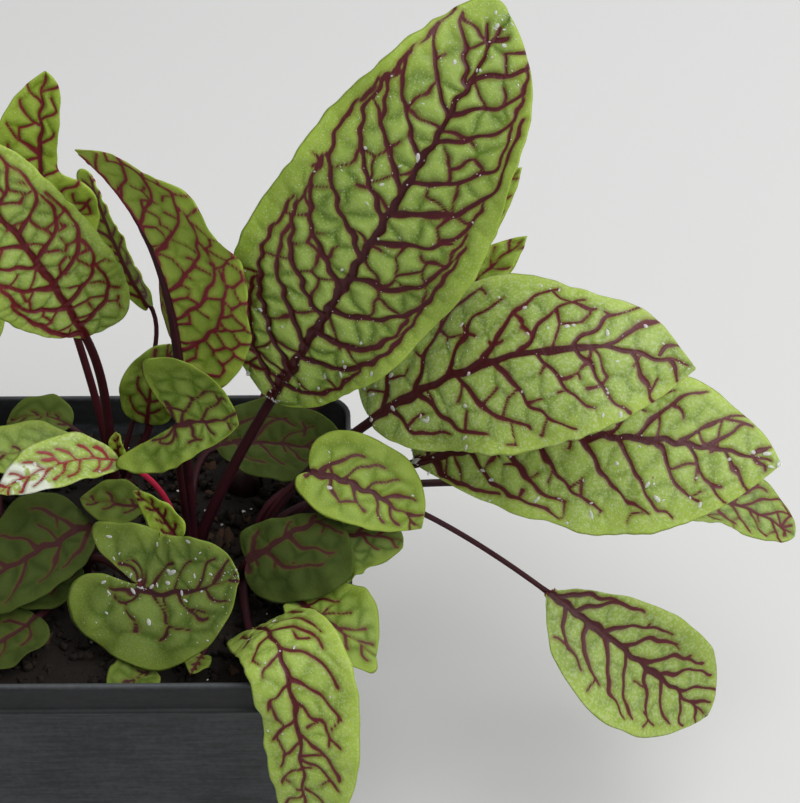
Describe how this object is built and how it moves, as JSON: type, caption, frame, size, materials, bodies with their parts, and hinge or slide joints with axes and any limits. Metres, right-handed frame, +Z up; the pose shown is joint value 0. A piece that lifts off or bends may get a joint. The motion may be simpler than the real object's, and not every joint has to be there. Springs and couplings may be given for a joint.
{
  "type": "potted red-veined sorrel plant",
  "caption": "Red-veined sorrel growing in a square black nursery pot, with broad green leaves on dark red stalks.",
  "frame": {"origin": "middle of the pot's underside, on the surface that it stands on", "axes": "+Z up, +X to the plant's right where the widest leaves reach out, +Y to its back"},
  "size_m": [0.298, 0.1803, 0.2371],
  "materials": {
    "pot": "satin",
    "soil": "matte",
    "stalk": "satin",
    "leaf": "satin"
  },
  "bodies": {
    "root": {"back_leaf_1": "leaf", "back_leaf_2": "leaf", "back_leaf_3": "leaf", "back_leaf_4": "leaf", "back_leaf_5": "leaf", "back_leaf_6": "leaf", "back_leaf_7": "leaf", "back_stalks": "stalk", "far_leaf_1": "leaf", "far_leaf_2": "leaf", "far_leaf_3": "leaf", "far_leaf_4": "leaf", "far_stalks": "stalk", "left_leaf_1": "leaf", "left_leaf_2": "leaf", "left_leaf_3": "leaf", "left_leaf_4": "leaf", "left_leaf_5": "leaf", "left_stalks": "stalk", "middle_leaf_1": "leaf", "middle_leaf_2": "leaf", "middle_leaf_3": "leaf", "middle_leaf_4": "leaf", "middle_leaf_5": "leaf", "middle_leaf_6": "leaf", "middle_leaf_7": "leaf", "middle_stalks": "stalk", "pot": "pot", "right_leaf_1": "leaf", "right_leaf_10": "leaf", "right_leaf_2": "leaf", "right_leaf_3": "leaf", "right_leaf_4": "leaf", "right_leaf_5": "leaf", "right_leaf_6": "leaf", "right_leaf_7": "leaf", "right_leaf_8": "leaf", "right_leaf_9": "leaf", "right_stalks": "stalk", "side_leaf_1": "leaf", "side_leaf_2": "leaf", "side_leaf_3": "leaf", "side_leaf_4": "leaf", "side_leaf_5": "leaf", "side_leaf_6": "leaf", "side_stalks": "stalk", "soil": "soil"}
  },
  "joints": []
}
